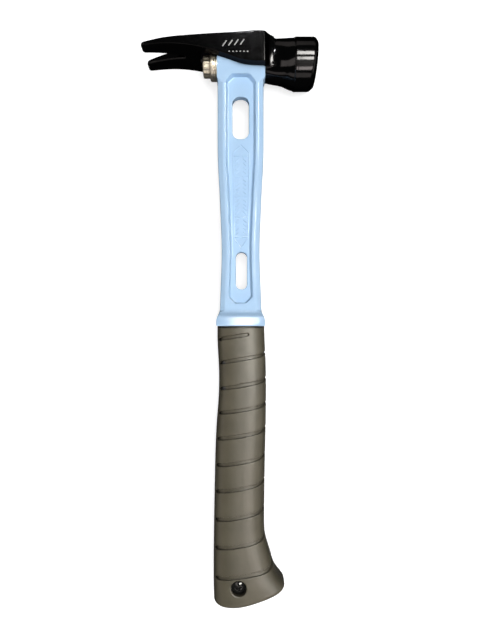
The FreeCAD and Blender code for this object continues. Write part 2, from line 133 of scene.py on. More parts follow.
def surface_nets(distance, low, high, cell):
    """Quads round the zero surface of the distance: points, faces and outward normals."""
    low = np.array(low, float)
    counts = [int(math.ceil((b - a) / cell)) + 1 for a, b in zip(low, high)]
    lines = [a + cell * np.arange(n) for a, n in zip(low, counts)]
    grid = np.meshgrid(*lines, indexing="ij", sparse=True)
    values = np.broadcast_to(distance(*grid), counts)
    crossings, loops = [], []
    for a in range(3):
        b, c = (a + 1) % 3, (a + 2) % 3
        near = values[tuple(slice(0, -1) if k == a else slice(None) for k in range(3))]
        far = values[tuple(slice(1, None) if k == a else slice(None) for k in range(3))]
        edge = np.argwhere((near < 0) != (far < 0))
        start, end = near[tuple(edge.T)], far[tuple(edge.T)]
        point = edge.astype(float)
        point[:, a] += start / (start - end)
        loop = []
        for back_b, back_c in ((1, 1), (0, 1), (0, 0), (1, 0)):
            corner = edge.copy()
            corner[:, b] -= back_b
            corner[:, c] -= back_c
            loop.append(np.ravel_multi_index(corner.T, counts))
        loop = np.stack(loop, axis=1)
        loop[start >= 0] = loop[start >= 0][:, ::-1]
        crossings.append(np.repeat(point, 4, axis=0))
        loops.append(loop)
    keys, corners = np.unique(np.concatenate(loops), return_inverse=True)
    corners = corners.reshape(-1)
    crossings = np.concatenate(crossings)
    # corners lists the four cells of each crossing in the loop's order, which only differs by a turn
    shares = np.bincount(corners, minlength=len(keys))
    points = np.stack([np.bincount(corners, crossings[:, k], len(keys)) / shares for k in range(3)], axis=1)
    points = low + points * cell
    for _ in range(4):
        value, slope = value_and_slope(distance, points, 0.02)
        step = value / np.maximum((slope ** 2).sum(axis=1), 1e-3)
        points -= slope * np.clip(step, -cell, cell)[:, None]
    slope = value_and_slope(distance, points, 0.12)[1]
    normals = slope / np.linalg.norm(slope, axis=1)[:, None]
    return points, corners.reshape(-1, 4), normals


def value_and_slope(distance, points, step):
    slope = np.empty_like(points)
    for k in range(3):
        offset = np.zeros(3)
        offset[k] = step
        ahead = distance(*(points + offset).T)
        behind = distance(*(points - offset).T)
        slope[:, k] = (ahead - behind) / (2 * step)
    return distance(*points.T), slope


# Head

# x, height of the deck at the cheeks, and its rise to the middle
CREST_LINE = [(-72.5, 197.2, 0.8), (-66.0, 198.8, 0.9), (-58.7, 200.5, 1.0), (-39.1, 202.9, 1.4),
              (-16.3, 204.4, 1.8), (3.0, 205.5, 2.1), (12.0, 206.1, 2.2), (16.0, 206.0, 2.2),
              (19.0, 205.7, 2.3), (22.0, 205.3, 2.4), (26.0, 204.3, 2.4)]
# x and the lower edge of the cheeks
CHEEK_LINE = [(17.5, 184.4), (8.0, 184.8), (0.0, 186.1), (-7.1, 188.6), (-17.8, 192.0), (-28.4, 194.5),
              (-39.1, 196.2), (-50.0, 196.9), (-62.0, 196.4), (-73.0, 195.2)]
# x and the half width of the deck behind the neck
SHOULDER = [(17.2, 19.0), (18.6, 17.0), (20.0, 14.6), (21.8, 12.3), (25.0, 10.9)]
# x, half width, reach below and above the striking line, and roundness of the section
NECK = [(18.5, 12.2, 11.6, 17.3, 2.5), (26.0, 12.6, 13.4, 17.7, 2.4), (32.0, 14.0, 14.7, 17.7, 2.3),
        (37.0, 16.2, 16.8, 17.6, 2.2), (41.0, 17.6, 18.0, 17.8, 2.0)]
SLOT_ROOT_X, SLOT_ROOT_HALF, SLOT_WIDENING = -42.0, 1.5, 0.203
CHEEK_END_X, CHEEK_LOW_Y = 17.5, 184.4
DECK_END_X = 24.6
NECK_END_X, NECK_MEAN_RADIUS = 42.0, 13.0
RING_REAR_X = 39.9
SADDLE_TOP_Y = 199.6
RELIEF_RADIUS, RELIEF_REAR_X = 11.6, -30.0
BORE_RADIUS, BORE_REAR_X, BORE_END_X = 6.1, 17.0, 37.5
NAIL_GROOVE_REAR_X, NAIL_GROOVE_HALF, NAIL_GROOVE_Y = 26.0, 1.95, 204.4
NAIL_HEAD_X, NAIL_HEAD_HALF_LENGTH, NAIL_HEAD_HALF, NAIL_HEAD_Y = 27.1, 1.1, 4.4, 202.4
MAGNET_X, MAGNET_RADIUS, MAGNET_Y = 33.4, 3.0, 201.9
crest_edge, crest_rise = Spline(CREST_LINE), Spline(CREST_LINE, 2)
cheek_low = Spline(CHEEK_LINE)
shoulder = Spline(SHOULDER)
neck_side, neck_below, neck_above, neck_power = (Spline(NECK, column) for column in (1, 2, 3, 4))


def claw_slot(x, y, side):
    """V between the tines, with a fine bevel on the underside."""
    behind = SLOT_ROOT_X - x
    slot = np.where(behind > 0, side - SLOT_ROOT_HALF - behind * SLOT_WIDENING,
                    np.hypot(behind, side) - SLOT_ROOT_HALF)
    return slot - np.maximum(0.8 - (y - cheek_low(x)), 0) * 0.4


def claw_distance(x, y, z):
    """Claw, deck and cheeks in one."""
    side = np.abs(z)
    top = y - crest_edge(x) - crest_rise(x) * (1 - (z / HALF_WIDTH) ** 2)
    low = np.where(x > CHEEK_END_X, CHEEK_LOW_Y, cheek_low(np.minimum(x, CHEEK_END_X))) - y
    cheek = both(side - CHEEK_HALF, side - shoulder(np.maximum(x, 16.4)), 0.4)
    plan = both(cheek, CLAW_TIP_X + 0.05 - x, 2.6)
    plan = both(plan, -claw_slot(x, y, side), 2.4)
    claw = np.maximum(both(plan, top, 0.9), both(plan, low, 0.7))
    return np.maximum(claw, x - DECK_END_X)


def neck_distance(x, y, z):
    """Neck, whose section goes from nearly square at the deck to round at the ring."""
    rise = y - STRIKE_Y
    reach = np.where(rise > 0, neck_above(x), neck_below(x))
    power = neck_power(np.clip(x, NECK[0][0], NECK[-1][0]))
    ratio = ((np.abs(z) / neck_side(x)) ** power + (np.abs(rise) / reach) ** power) ** (1 / power)
    return np.maximum(np.maximum((ratio - 1) * NECK_MEAN_RADIUS, NECK_ROOT_X - x), x - NECK_END_X)


def ring_distance(x, y, z):
    """Striking ring, with a bevel round its leaning face."""
    rise = y - STRIKE_Y
    ring = both(np.hypot(rise, z) - RING_RADIUS, RING_REAR_X - x, 0.7)
    forward = (x - FACE_X) * math.cos(FACE_TILT) - rise * math.sin(FACE_TILT)
    leaning = (x - FACE_X) * math.sin(FACE_TILT) + rise * math.cos(FACE_TILT)
    bevel = (forward + np.hypot(leaning, z) - RING_RADIUS + FACE_BEVEL) * math.sqrt(0.5)
    return both(both(ring, bevel, 0.9), forward, 0.6)


def nail_starter(x, y, z):
    """Groove along the top of the neck, with a slot for the nail's head and a hole for the magnet."""
    side = np.abs(z)
    groove = np.maximum(NAIL_GROOVE_REAR_X - x, np.maximum(side - NAIL_GROOVE_HALF, NAIL_GROOVE_Y - y))
    head_slot = np.maximum(side - NAIL_HEAD_HALF, NAIL_HEAD_Y - y)
    head_slot = np.maximum(np.abs(x - NAIL_HEAD_X) - NAIL_HEAD_HALF_LENGTH, head_slot)
    magnet_hole = np.maximum(np.hypot(x - MAGNET_X, z) - MAGNET_RADIUS, MAGNET_Y - y)
    return np.minimum(np.minimum(groove, head_slot), magnet_hole)


def head_distance(x, y, z):
    side = np.abs(z)
    body = either(claw_distance(x, y, z), neck_distance(x, y, z), 1.8)
    body = either(body, ring_distance(x, y, z), 0.35)
    saddle = np.maximum(HUB_REAR_X - 0.2 - x, x - NECK_ROOT_X)
    saddle = np.maximum(saddle, np.maximum(y - SADDLE_TOP_Y, side - HUB_HALF))
    body = without(body, saddle, 0.5)
    from_bolt = np.hypot(y - BOLT_Y, z)
    relief = np.where(y < BOLT_Y, side, from_bolt) - RELIEF_RADIUS
    relief = np.maximum(np.maximum(RELIEF_REAR_X - x, x - HUB_REAR_X), relief)
    body = without(body, relief, 0.8)
    bore = np.maximum(np.maximum(BORE_REAR_X - x, x - BORE_END_X), from_bolt - BORE_RADIUS)
    body = without(body, bore, 0.3)
    return without(body, nail_starter(x, y, z), 0.35)


# Handle

HANDLE_X = 0.45
# Height and half width
SHANK_EDGE = [(172.0, 17.0), (150.0, 17.0), (130.0, 17.0), (115.0, 16.7), (98.5, 15.8), (76.4, 14.8),
              (50.0, 14.0), (27.9, 14.6), (9.0, 15.3)]
COLLAR_EDGE = [(9.0, 15.3), (5.0, 15.9), (1.5, 17.3), (-4.4, 17.6)]
SHANK_HALF = 6.4
# Height and half thickness
THICKNESS = [(188.5, 11.0), (184.5, 9.8), (180.5, 7.9), (175.0, SHANK_HALF)]
COLLAR_THICKNESS = [(9.5, SHANK_HALF), (6.8, 6.7), (5.2, 7.7), (3.4, 9.9), (1.6, 11.0), (-1.4, 12.3),
                    (-4.4, 13.6)]
RECESS_TOP_Y, RECESS_LOW_Y, RECESS_CORNER, RIB_WIDTH = 180.4, 12.4, 4.6, 6.0
RECESS_DRAFT, RECESS_END_DRAFT = 0.4, 0.05
WEB_HALF = 2.9
CHAMFER_WIDTH, CHAMFER_SLOPE, CHAMFER_COSINE = 3.7, 0.5, 0.89
SHANK_END_Y, HUB_LOW_Y, HUB_TOP_Y = 185.0, 178.0, 199.4
HUB_BORE_RADIUS = 6.25
# low x, high x, low y, high y and corner radius
UPPER_WINDOW = (-5.6, 6.6, 134.3, 165.7, 5.4)
LOWER_WINDOW = (-3.0, 5.2, 22.7, 50.4, 4.0)
shank_edge, collar_edge = Spline(SHANK_EDGE), Spline(COLLAR_EDGE)
hub_half, collar_half = Spline(THICKNESS), Spline(COLLAR_THICKNESS)
SHANK_LOW_Y, SHANK_TOP_Y = SHANK_EDGE[-1][0], SHANK_EDGE[0][0]


def window_distance(x, y, window):
    low_x, high_x, low_y, high_y, corner = window
    across = np.abs(x - (low_x + high_x) / 2) - (high_x - low_x) / 2 + corner
    along = np.abs(y - (low_y + high_y) / 2) - (high_y - low_y) / 2 + corner
    outside = np.hypot(np.maximum(across, 0), np.maximum(along, 0))
    return outside + np.minimum(np.maximum(across, along), 0) - corner


def recess_distance(x, y, depth):
    """Long octagon one rib width inside the edges of the shank, with sides that slope inwards with depth."""
    across = np.abs(x - HANDLE_X) - shank_edge(np.clip(y, SHANK_LOW_Y, SHANK_TOP_Y)) + RIB_WIDTH
    across = across + RECESS_DRAFT * depth
    ends = np.maximum(y - RECESS_TOP_Y, RECESS_LOW_Y - y) + RECESS_END_DRAFT * depth
    cut = (across + ends + RECESS_CORNER) * math.sqrt(0.5)
    return both(np.maximum(across, ends), cut, 0.8)


def handle_distance(x, y, z):
    side = np.abs(z)
    half = np.where(y > SHANK_LOW_Y, shank_edge(np.minimum(y, SHANK_TOP_Y)),
                    collar_edge(np.minimum(y, SHANK_LOW_Y)))
    shank = np.maximum(np.abs(x - HANDLE_X) - half, y - SHANK_END_Y)
    hub = np.maximum(np.maximum(HUB_REAR_X - x, x - NECK_ROOT_X), HUB_LOW_Y - y)
    outline = either(shank, hub, 1.2)
    thick = np.where(y > SHANK_TOP_Y, hub_half(np.clip(y, THICKNESS[-1][0], THICKNESS[0][0])),
                     collar_half(np.clip(y, GRIP_TOP_Y, COLLAR_THICKNESS[0][0])))
    # The chamfers run out at the hub and at the collar
    edge = np.clip((y - 175.0) / 8.0, 0, 1) + np.clip((7.0 - y) / 3.5, 0, 1)
    slope = ((outline + CHAMFER_WIDTH) * CHAMFER_SLOPE + side - thick) * CHAMFER_COSINE - 4.0 * edge
    body = both(both(outline, slope, 0.7), side - thick, 0.16)
    body = both(body, y - HUB_TOP_Y, 0.4)
    body = both(body, GRIP_TOP_Y - y, 0.9)
    recess = both(recess_distance(x, y, SHANK_HALF - side), WEB_HALF - side, 0.5)
    body = without(body, recess, 0.25)
    windows = np.minimum(window_distance(x, y, UPPER_WINDOW), window_distance(x, y, LOWER_WINDOW))
    body = without(body, windows, 0.3)
    bolt_hole = np.maximum(np.hypot(y - BOLT_Y, z) - HUB_BORE_RADIUS, np.abs(x) - 30.0)
    return without(body, bolt_hole, 0.3)


def tang_distance(x, y, z):
    across = np.abs(x - TANG_X) - TANG_HALF_WIDTH
    body = both(both(across, np.abs(z) - TANG_HALF, 0.8), TANG_END_Y - y, 2.0)
    body = np.maximum(body, y - GRIP_TOP_Y)
    return without(body, np.hypot(x - SCREW_X, y - SCREW_Y) - TANG_HOLE_RADIUS, 0.4)


# Grip

# Height, rear edge, front edge, half thickness and roundness of the section
GRIP = [(-4.4, -16.8, 18.1, 13.6, 2.35), (-15.0, -16.8, 18.4, 13.3, 2.35),
        (-28.0, -16.1, 19.0, 13.2, 2.35), (-46.0, -15.6, 19.4, 13.4, 2.35),
        (-58.0, -16.0, 19.4, 13.6, 2.35), (-75.0, -17.3, 19.2, 13.9, 2.35),
        (-90.0, -18.1, 18.9, 14.1, 2.35), (-112.0, -18.7, 18.4, 14.4, 2.35),
        (-145.0, -19.3, 18.0, 15.0, 2.45), (-161.0, -19.5, 19.0, 15.8, 2.6),
        (-174.0, -19.6, 22.8, 16.8, 2.8), (-186.0, -19.6, 27.2, 17.7, 3.0),
        (-195.0, -19.5, 34.0, 18.0, 3.2), (-212.0, -19.0, 38.0, 18.0, 3.2)]
BUTT_LINE = [(-12.0, BUTT_Y), (3.0, -205.6), (12.0, -203.0), (21.0, -199.9), (30.0, -196.9), (42.0, -193.0)]
# Height of the groove where it crosses the middle of the near side, one turn after another
GROOVE_TURNS = [(0, -11.3), (1, -28.3), (2, -47.3), (3, -65.1), (4, -83.7), (5, -103.0), (6, -121.9),
                (7, -142.3), (8, -162.2), (9, -183.0)]
GROOVE_START, GROOVE_END = -0.04, 9.42
GROOVE_HALF, GROOVE_DEPTH = 1.35, 1.2
# Rise of the groove over its first turn, and how much it grows with each turn
GROOVE_PITCH, PITCH_GROWTH = 18.6, 0.3
TURN_LENGTH = 104.0
NOTCH_HEIGHT, NOTCH_DEPTH = 1.3, 2.0
CORE_HALF_WIDTH, CORE_HALF, CORE_TOP_Y, CORE_LOW_Y = 12.6, 8.4, -7.4, -201.5
CORE_BOSS_RADIUS = 7.2
grip_rear, grip_front, grip_half, grip_power = (Spline(GRIP, column) for column in (1, 2, 3, 4))
butt_line = Spline(BUTT_LINE)
turn_at = Spline([(height, turn) for turn, height in GROOVE_TURNS])


def grip_section(x, y, z):
    rear, front, half = grip_rear(y), grip_front(y), grip_half(y)
    across = (x - (rear + front) / 2) / ((front - rear) / 2)
    up = z / half
    power = grip_power(y)
    return ((np.abs(across) ** power + np.abs(up) ** power) ** (1 / power) - 1) * half, across, up


def groove_distance(across, up, y):
    """Distance across the spiral groove, which rises towards the front on the near side."""
    turn = turn_at(y)
    around = np.arctan2(across, up) / (2 * math.pi)
    nearest = np.round(turn + around)
    pitch = GROOVE_PITCH + PITCH_GROWTH * turn
    along = nearest - around
    past_end = np.maximum(np.maximum(GROOVE_START - along, along - GROOVE_END), 0) * TURN_LENGTH
    return np.hypot((turn + around - nearest) * pitch, past_end) - GROOVE_HALF


def grip_distance(x, y, z):
    skin, across, up = grip_section(x, y, z)
    butt_start_x = BUTT_LINE[0][0]
    low = np.where(x < butt_start_x, BUTT_Y, butt_line(np.maximum(x, butt_start_x)))
    body = both(skin, low - y, 3.4)
    body = np.maximum(body, y - GRIP_TOP_Y)
    notch_depth = (NOTCH_DEPTH + 0.3) * np.clip((np.abs(up) - 0.12) / 0.2, 0, 1) - 0.3
    body = without(body, both(-(skin + notch_depth), GRIP_TOP_Y - NOTCH_HEIGHT - y, 0.2), 0.25)
    # The groove fades out round the rear edge, and the notch under the collar at both edges
    fade = 2.2 * np.clip((-0.86 - across) / 0.12, 0, 1)
    groove = both(groove_distance(across, up, y) + fade, -(skin + GROOVE_DEPTH), 0.2)
    body = without(body, groove, 0.25)
    from_screw = np.hypot(x - SCREW_X, y - SCREW_Y)
    pocket = np.maximum(from_screw - SCREW_POCKET_RADIUS, CORE_BOSS_HALF - np.abs(z))
    body = without(body, pocket, 0.6)
    core = both(np.abs(x - TANG_X) - CORE_HALF_WIDTH, np.abs(z) - CORE_HALF, 4.2)
    core = both(core, np.maximum(y - CORE_TOP_Y, CORE_LOW_Y - y), 0.1)
    boss = np.maximum(from_screw - CORE_BOSS_RADIUS, np.abs(z) - CORE_BOSS_HALF)
    tang = np.maximum(np.abs(x - TANG_X) - TANG_HALF_WIDTH, np.abs(z) - TANG_HALF)
    tang = np.maximum(tang, TANG_END_Y - y)
    return without(body, np.minimum(np.minimum(core, boss), tang), 0.1)


# Fasteners

BOLT_END_X, BOLT_HEAD_X, BOLT_FLANGE_TOP_X = 35.5, -27.4, -22.3
BOLT_RADIUS, BOLT_SEAT_X = 6.0, -19.3
BOLT_POINT_RADIUS, BOLT_FLAT_RADIUS = 7.9, 7.15
BOLT_DIMPLE_RADIUS, BOLT_DIMPLE_DEPTH = 4.4, 0.6
BOLT_JOIN_X = -20.0
FLANGE_RADIUS, FLANGE_SHOULDER_RADIUS, FLANGE_SLOPE = 10.1, 8.7, math.radians(25)
WASHER_RADIUS, WASHER_HOLE_RADIUS, WASHER_THICKNESS = 10.2, 6.3, 1.25
WASHER_SEAT_X = HUB_REAR_X - 2 * WASHER_THICKNESS
SCREW_RADIUS, SCREW_HEAD_RADIUS, SCREW_HEAD_HEIGHT = 2.5, 5.1, 4.2
SCREW_DOME_RADIUS, SCREW_CONE_Z, SCREW_CONE_ANGLE = 7.0, 2.0, math.radians(32)
CROSS_TURN = math.atan(0.25)
CROSS_HALF_WIDTH, CROSS_REACH, CROSS_FLOOR_Z, CROSS_TAPER = 0.62, 2.4, 1.6, 0.28
NUT_RADIUS, NUT_END_Z, NUT_BORE_Z = 3.5, 5.5, -8.0


def bolt_distance(x, y, z):
    """Twelve-point flange bolt."""
    rise = y - BOLT_Y
    radial = np.hypot(rise, z)
    around = np.arctan2(z, rise)
    fold = np.abs(np.mod(around + math.pi / 12, math.pi / 6) - math.pi / 12)
    points = both(radial * np.cos(math.pi / 6 - fold) - BOLT_FLAT_RADIUS, radial - BOLT_POINT_RADIUS, 0.3)
    outward = BOLT_HEAD_X - x
    cap = both(both(points, outward, 0.5), (outward + radial - 7.2) * math.sqrt(0.5), 0.2)
    cap = both(cap, -np.maximum(radial - BOLT_DIMPLE_RADIUS, -BOLT_DIMPLE_DEPTH - outward), 0.3)
    cap = np.maximum(cap, x - BOLT_JOIN_X)
    slope = (radial - FLANGE_SHOULDER_RADIUS) * math.sin(FLANGE_SLOPE)
    slope = slope - (x - BOLT_FLANGE_TOP_X) * math.cos(FLANGE_SLOPE)
    flange = both(both(radial - FLANGE_RADIUS, slope, 0.4), x - BOLT_SEAT_X, 0.2)
    flange = both(flange, BOLT_FLANGE_TOP_X - x, 0.3)
    end = (x - BOLT_END_X + 1.0 + radial - BOLT_RADIUS) * math.sqrt(0.5)
    shank = both(np.maximum(radial - BOLT_RADIUS, BOLT_JOIN_X - x), end, 0.2)
    shank = np.maximum(shank, x - BOLT_END_X)
    return np.minimum(either(cap, flange, 0.6), shank)


def washer_distance(low_x, x, y, z):
    """Lock washer with radial ridges on both faces."""
    rise = y - BOLT_Y
    radial = np.hypot(rise, z)
    ridges = 0.12 * np.abs(np.mod(np.arctan2(z, rise) * 22 / math.pi, 2) - 1)
    face = np.abs(x - low_x - WASHER_THICKNESS / 2) - 0.615 + ridges
    return both(both(radial - WASHER_RADIUS, WASHER_HOLE_RADIUS - radial, 0.1), face, 0.16)


def screw_distance(seat, sign, end, x, y, z):
    """Screw head with a dome inside a cone and a cross recess, on a plain shank that reaches end."""
    along, across = x - SCREW_X, y - SCREW_Y
    radial = np.hypot(along, across)
    lift = z * sign - seat
    dome = np.hypot(radial, lift + SCREW_DOME_RADIUS - SCREW_HEAD_HEIGHT) - SCREW_DOME_RADIUS
    cone = (radial - SCREW_HEAD_RADIUS) * math.sin(SCREW_CONE_ANGLE)
    cone = cone + (lift - SCREW_CONE_Z) * math.cos(SCREW_CONE_ANGLE)
    head = both(both(radial - SCREW_HEAD_RADIUS, both(dome, cone, 0.5), 0.3), -lift, 0.2)
    turned_x = np.abs(along * math.cos(CROSS_TURN) + across * math.sin(CROSS_TURN))
    turned_y = np.abs(across * math.cos(CROSS_TURN) - along * math.sin(CROSS_TURN))
    taper = (lift - SCREW_HEAD_HEIGHT) * CROSS_TAPER
    half_width, reach = CROSS_HALF_WIDTH + taper * 0.3, CROSS_REACH + taper
    arm_a = both(turned_x - half_width, turned_y - reach, 0.2)
    arm_b = both(turned_y - half_width, turned_x - reach, 0.2)
    cross = np.maximum(either(arm_a, arm_b, 0.5), CROSS_FLOOR_Z - lift)
    head = without(head, cross, 0.25)
    shank = both(np.maximum(radial - SCREW_RADIUS, lift - 0.5), end - z * sign, 0.3)
    return np.minimum(head, shank)


def nut_distance(x, y, z):
    """Barrel nut: the same head on a tube."""
    body = screw_distance(CORE_BOSS_HALF, -1.0, 0.0, x, y, z)
    radial = np.hypot(x - SCREW_X, y - SCREW_Y)
    barrel = both(np.maximum(radial - NUT_RADIUS, z - NUT_END_Z), -CORE_BOSS_HALF - z, 0.1)
    bore = np.maximum(radial - SCREW_RADIUS, NUT_BORE_Z - z)
    solid = np.minimum(np.maximum(body, z + CORE_BOSS_HALF), barrel)
    return without(solid, bore, 0.2)


# Materials

def new_material(name):
    material = bpy.data.materials.new(name)
    material.use_nodes = True
    tree = material.node_tree
    return material, tree, tree.nodes["Principled BSDF"]


def add_node(tree, kind, **values):
    node = tree.nodes.new(kind)
    for key, value in values.items():
        if hasattr(node, key):
            setattr(node, key, value)
        else:
            node.inputs[key.replace("_", " ")].default_value = value
    return node


def noise(tree, scale, detail=4.0, stretch=(1, 1, 1)):
    """Noise in object space. Scale is in repeats per metre."""
    place = tree.nodes.new("ShaderNodeTexCoord")
    mapping = tree.nodes.new("ShaderNodeMapping")
    mapping.inputs["Scale"].default_value = stretch
    texture = add_node(tree, "ShaderNodeTexNoise", Scale=scale, Detail=detail)
    tree.links.new(place.outputs["Object"], mapping.inputs["Vector"])
    tree.links.new(mapping.outputs["Vector"], texture.inputs["Vector"])
    return texture.outputs["Fac"]


def ramp(tree, source, stops):
    node = tree.nodes.new("ShaderNodeValToRGB")
    node.color_ramp.elements[0].position = stops[0][0]
    node.color_ramp.elements[0].color = (*stops[0][1], 1)
    node.color_ramp.elements[1].position = stops[-1][0]
    node.color_ramp.elements[1].color = (*stops[-1][1], 1)
    for position, colour in stops[1:-1]:
        element = node.color_ramp.elements.new(position)
        element.color = (*colour, 1)
    tree.links.new(source, node.inputs["Fac"])
    return node.outputs["Color"]


def spread(tree, source, low, high):
    """The source, from 0.3 to 0.7, spread over low to high."""
    node = tree.nodes.new("ShaderNodeMapRange")
    node.inputs["From Min"].default_value = 0.3
    node.inputs["From Max"].default_value = 0.7
    node.inputs["To Min"].default_value = low
    node.inputs["To Max"].default_value = high
    tree.links.new(source, node.inputs["Value"])
    return node.outputs["Result"]


def bump(tree, shader, heights, distance, strength=1.0):
    """Bump from one or more height sources, added up."""
    total = heights[0]
    for extra in heights[1:]:
        adder = add_node(tree, "ShaderNodeMath", operation="ADD")
        tree.links.new(total, adder.inputs[0])
        tree.links.new(extra, adder.inputs[1])
        total = adder.outputs[0]
    node = add_node(tree, "ShaderNodeBump", Strength=strength, Distance=distance)
    tree.links.new(total, node.inputs["Height"])
    tree.links.new(node.outputs["Normal"], shader.inputs["Normal"])


def black_steel():
    material, tree, shader = new_material("black_steel")
    broad = noise(tree, 60, 3)
    scuffs = noise(tree, 900, 5, (0.25, 1, 1))
    tree.links.new(ramp(tree, broad, [(0.3, (0.021, 0.021, 0.022)), (0.7, (0.030, 0.030, 0.031))]),
                   shader.inputs["Base Color"])
    tree.links.new(spread(tree, scuffs, 0.08, 0.14), shader.inputs["Roughness"])
    shader.inputs["Metallic"].default_value = 1.0
    shader.inputs["Specular Tint"].default_value = (0.4, 0.4, 0.4, 1)
    bump(tree, shader, [noise(tree, 350, 3)], 0.00006, 0.5)
    return material


def blue_coat():
    material, tree, shader = new_material("blue_handle")
    broad = noise(tree, 45, 4)
    fine = noise(tree, 2600, 3)
    tree.links.new(ramp(tree, broad, [(0.3, (0.392, 0.56, 0.755)), (0.7, (0.418, 0.592, 0.79))]),
                   shader.inputs["Base Color"])
    tree.links.new(spread(tree, fine, 0.045, 0.085), shader.inputs["Roughness"])
    shader.inputs["Specular IOR Level"].default_value = 0.28
    bump(tree, shader, [fine, noise(tree, 500, 3)], 0.00003, 0.5)
    return material


def rubber():
    material, tree, shader = new_material("grip_rubber")
    broad = noise(tree, 70, 5)
    fine = noise(tree, 3500, 4)
    tint = ramp(tree, broad, [(0.3, (0.066, 0.058, 0.037)), (0.7, (0.084, 0.074, 0.048))])
    # Painted shade: ambient occlusion darkens the rubber's base colour in the spiral groove, the notch and
    # other creases
    painted_crease_shade = add_node(tree, "ShaderNodeAmbientOcclusion")
    painted_crease_shade.samples = 8
    painted_crease_shade.inputs["Distance"].default_value = 0.0018
    tree.links.new(tint, painted_crease_shade.inputs["Color"])
    tree.links.new(painted_crease_shade.outputs["Color"], shader.inputs["Base Color"])
    tree.links.new(spread(tree, fine, 0.34, 0.46), shader.inputs["Roughness"])
    bump(tree, shader, [fine, noise(tree, 420, 4)], 0.00012, 0.6)
    return material


def zinc():
    material, tree, shader = new_material("bright_steel")
    patches = noise(tree, 500, 4)
    tree.links.new(ramp(tree, patches, [(0.3, (0.80, 0.76, 0.66)), (0.7, (0.66, 0.60, 0.47))]),
                   shader.inputs["Base Color"])
    shader.inputs["Metallic"].default_value = 1.0
    tree.links.new(spread(tree, noise(tree, 2500, 3), 0.24, 0.42), shader.inputs["Roughness"])
    bump(tree, shader, [noise(tree, 1800, 3)], 0.00004, 0.4)
    return material


def black_screw():
    material, tree, shader = new_material("black_screw")
    shade = ramp(tree, noise(tree, 900, 3), [(0.3, (0.005, 0.005, 0.005)), (0.7, (0.010, 0.010, 0.009))])
    tree.links.new(shade, shader.inputs["Base Color"])
    shader.inputs["Specular IOR Level"].default_value = 0.5
    tree.links.new(spread(tree, noise(tree, 1500, 3), 0.05, 0.10), shader.inputs["Roughness"])
    bump(tree, shader, [noise(tree, 900, 3)], 0.00003, 0.4)
    return material


def nickel():
    material, tree, shader = new_material("magnet_nickel")
    shader.inputs["Base Color"].default_value = (0.65, 0.63, 0.60, 1)
    shader.inputs["Metallic"].default_value = 1.0
    tree.links.new(spread(tree, noise(tree, 2000, 3), 0.12, 0.30), shader.inputs["Roughness"])
    bump(tree, shader, [noise(tree, 1500, 3)], 0.00003, 0.4)
    return material


def core_plastic():
    material, tree, shader = new_material("core_plastic")
    tree.links.new(ramp(tree, noise(tree, 200, 4), [(0.3, (0.03, 0.03, 0.03)), (0.7, (0.05, 0.05, 0.05))]),
                   shader.inputs["Base Color"])
    tree.links.new(spread(tree, noise(tree, 2000, 3), 0.45, 0.6), shader.inputs["Roughness"])
    bump(tree, shader, [noise(tree, 2500, 3)], 0.00005, 0.4)
    return material


def etched():
    """Pale laser mark on the black coating."""
    material, tree, shader = new_material("etched_mark")
    tree.links.new(ramp(tree, noise(tree, 2500, 4), [(0.35, (0.10, 0.10, 0.10)), (0.6, (0.45, 0.45, 0.44))]),
                   shader.inputs["Base Color"])
    tree.links.new(spread(tree, noise(tree, 3000, 3), 0.45, 0.7), shader.inputs["Roughness"])
    bump(tree, shader, [noise(tree, 4000, 3)], 0.00003, 0.5)
    return material


MATERIALS = {"black_steel": black_steel(), "blue_handle": blue_coat(), "grip_rubber": rubber(),
             "bright_steel": zinc(), "black_screw": black_screw(), "magnet_nickel": nickel(),
             "core_plastic": core_plastic()}


# Pieces

def add_piece(name, points, faces, slot, node=None, normals=None, material=None):
    """Adds a mesh, given in design millimetres, that rides on the hammer. Normals make it smooth."""
    mesh = bpy.data.meshes.new(name)
    mesh.from_pydata(((points + SHIFT) * MM).tolist(), [], faces)
    mesh.materials.append(material or MATERIALS[slot])
    if normals is not None:
        mesh.polygons.foreach_set("use_smooth", np.ones(len(mesh.polygons), bool))
        mesh.normals_split_custom_set_from_vertices(normals.tolist())
    mesh.validate()
    piece = bpy.data.objects.new(name, mesh)
    bpy.context.scene.collection.objects.link(piece)
    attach(piece, "root")
    if node:
        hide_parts(node)


def shaped(name, distance, low, high, cell, slot, node=None):
    """Adds the zero surface of the distance inside the box from low to high."""
    points, faces, normals = surface_nets(distance, low, high, cell)
    add_piece(name, points, faces.tolist(), slot, node, normals)


shaped("hammer_head", head_distance, (-73, 170, -20), (59, 211, 20), 0.6, "black_steel", "head")
shaped("handle_frame", handle_distance, (-20, -7, -15), (21, 202, 15), 0.6, "blue_handle", "handle")
shaped("handle_tang", tang_distance, (-13, -201, -7), (12, -2, 7), 1.3, "blue_handle")
shaped("rubber_grip", grip_distance, (-22, -210, -20), (36, -2, 20), 0.62, "grip_rubber", "grip")
shaped("flange_bolt", bolt_distance, (-31, 176, -13), (37, 203, 13), 0.42, "bright_steel", "head_bolt")
for washer, low_x in (("lock_washer_outer", WASHER_SEAT_X),
                      ("lock_washer_inner", WASHER_SEAT_X + WASHER_THICKNESS)):
    shaped(washer + "_ridged", lambda x, y, z, low_x=low_x: washer_distance(low_x, x, y, z),
           (low_x - 0.6, 178, -11.4), (low_x + 1.9, 200.8, 11.4), 0.3, "bright_steel", washer)
shaped("cross_screw", lambda x, y, z: screw_distance(CORE_BOSS_HALF, 1.0, -6.0, x, y, z),
       (-6.9, -197.6, -7), (5.1, -185.6, 17.6), 0.25, "black_screw", "grip_screw")
shaped("cross_barrel_nut", nut_distance, (-6.9, -197.6, -17.6), (5.1, -185.6, 6.5), 0.25, "black_screw",
       "grip_barrel_nut")


# Generic marks

MARK_WIDTH = 0.8
# The rounded edge of a mark, from its side to its top: inset and drop as shares of the bevel
MARK_EDGE = [(0.0, 1.0), (0.225, 0.225), (1.0, 0.0)]


